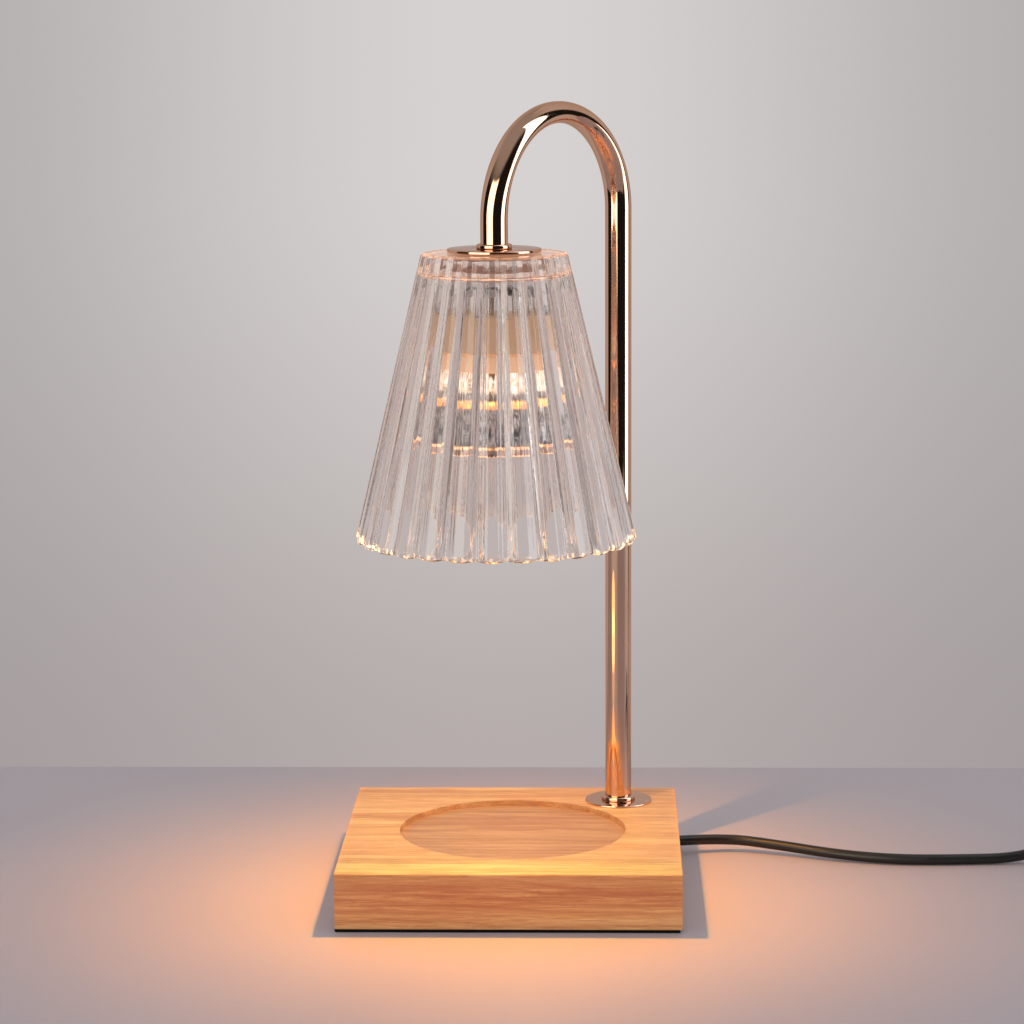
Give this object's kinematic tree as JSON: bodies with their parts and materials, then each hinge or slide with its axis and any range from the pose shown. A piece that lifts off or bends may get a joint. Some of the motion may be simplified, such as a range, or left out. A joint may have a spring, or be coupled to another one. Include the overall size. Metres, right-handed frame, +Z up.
{
  "type": "candle warmer lamp",
  "caption": "Candle warmer lamp: a fluted clear glass shade hangs from a gooseneck over a round seat in a square wooden base, with a dimmer on its cord.",
  "frame": {"origin": "on the table under the middle of the square base", "axes": "+Z up; +X to the side where the cord leaves the base; the front of the base faces -Y"},
  "size_m": [0.4991, 0.1578, 0.3518],
  "materials": {
    "wood": "fine straight grain, matt oil",
    "foam_pad": "fine-celled non-slip foam",
    "rose_plating": "mirror-polished rose-gold plating on steel",
    "zinc_steel": "bright zinc plating",
    "silicone": "translucent silicone",
    "shade_glass": "clear pressed glass, fire-polished",
    "holder_ceramic": "unglazed steatite",
    "lamp_ceramic": "unglazed ceramic",
    "nickel_brass": "nickel-plated brass",
    "lamp_mirror": "faceted glass, aluminised inside",
    "lamp_glass": "clear heat-resistant glass",
    "tungsten": "glowing tungsten coil",
    "black_moulding": "moulded black PVC",
    "cord_sheath": "smooth black PVC",
    "core_insulation": "PVC insulation",
    "lead_insulation": "white silicone and glass-fibre sleeving",
    "crimp_nylon": "natural nylon",
    "dimmer_shell": "fine-textured black ABS",
    "dimmer_knob": "black ABS",
    "circuit_board": "solder-masked laminate",
    "pot_body": "black housing",
    "pot_shaft": "white nylon",
    "triac_body": "black epoxy",
    "capacitor_body": "yellow film capacitor",
    "choke_body": "copper-wound ring core"
  },
  "bodies": {
    "lamp": {"wood_base": "wood", "base_pad": "foam_pad", "base_flange": "rose_plating", "base_collar": "rose_plating", "pole_tube": "rose_plating", "shade_collar": "rose_plating", "top_disc": "rose_plating", "base_nipple": "zinc_steel", "base_washer": "zinc_steel", "base_lock_washer": "zinc_steel", "base_nut": "zinc_steel", "shade_nipple": "zinc_steel", "shade_nuts": "zinc_steel", "shade_washer": "zinc_steel", "holder_bracket": "zinc_steel", "bracket_screws": "zinc_steel", "disc_gasket": "silicone", "roof_gasket": "silicone", "glass_shade": "shade_glass", "holder_body": "holder_ceramic", "holder_cap": "holder_ceramic", "holder_contacts": "nickel_brass", "plug_blades": "nickel_brass", "cord_bush": "black_moulding", "dimmer_inlet_sleeve": "black_moulding", "dimmer_outlet_sleeve": "black_moulding", "plug_sleeve": "black_moulding", "plug_body": "black_moulding", "cord_ends": "cord_sheath", "cord_run": "cord_sheath", "cord_feed": "cord_sheath", "cord_tail": "cord_sheath", "cord_coil": "cord_sheath", "supply_cores": "core_insulation", "dimmer_cores": "core_insulation", "lamp_leads": "lead_insulation", "crimp_caps": "crimp_nylon", "dimmer_bottom": "dimmer_shell", "dimmer_top": "dimmer_shell", "dimmer_screws": "zinc_steel", "dimmer_board": "circuit_board", "dimmer_pot": "pot_body", "dimmer_triac": "triac_body", "dimmer_capacitor": "capacitor_body", "dimmer_choke": "choke_body"},
    "bulb": {"bulb_foot": "lamp_ceramic", "bulb_pins": "nickel_brass", "bulb_reflector": "lamp_mirror", "bulb_lens": "lamp_glass", "bulb_capsule": "lamp_glass", "bulb_filament": "tungsten"},
    "dial": {"dimmer_dial": "dimmer_knob", "dimmer_shaft": "pot_shaft"}
  },
  "joints": [
    {"name": "bulb_twist", "type": "hinge", "parent": "lamp", "child": "bulb", "pos_m": [-0.006, -0.021, 0.2445], "axis": [0, 0, 1], "range_deg": [-20, 0]},
    {"name": "dial_turn", "type": "hinge", "parent": "lamp", "child": "dial", "pos_m": [0.307, 0.0373, 0.0184], "axis": [0, 0, 1], "range_deg": [-270, 0]}
  ]
}
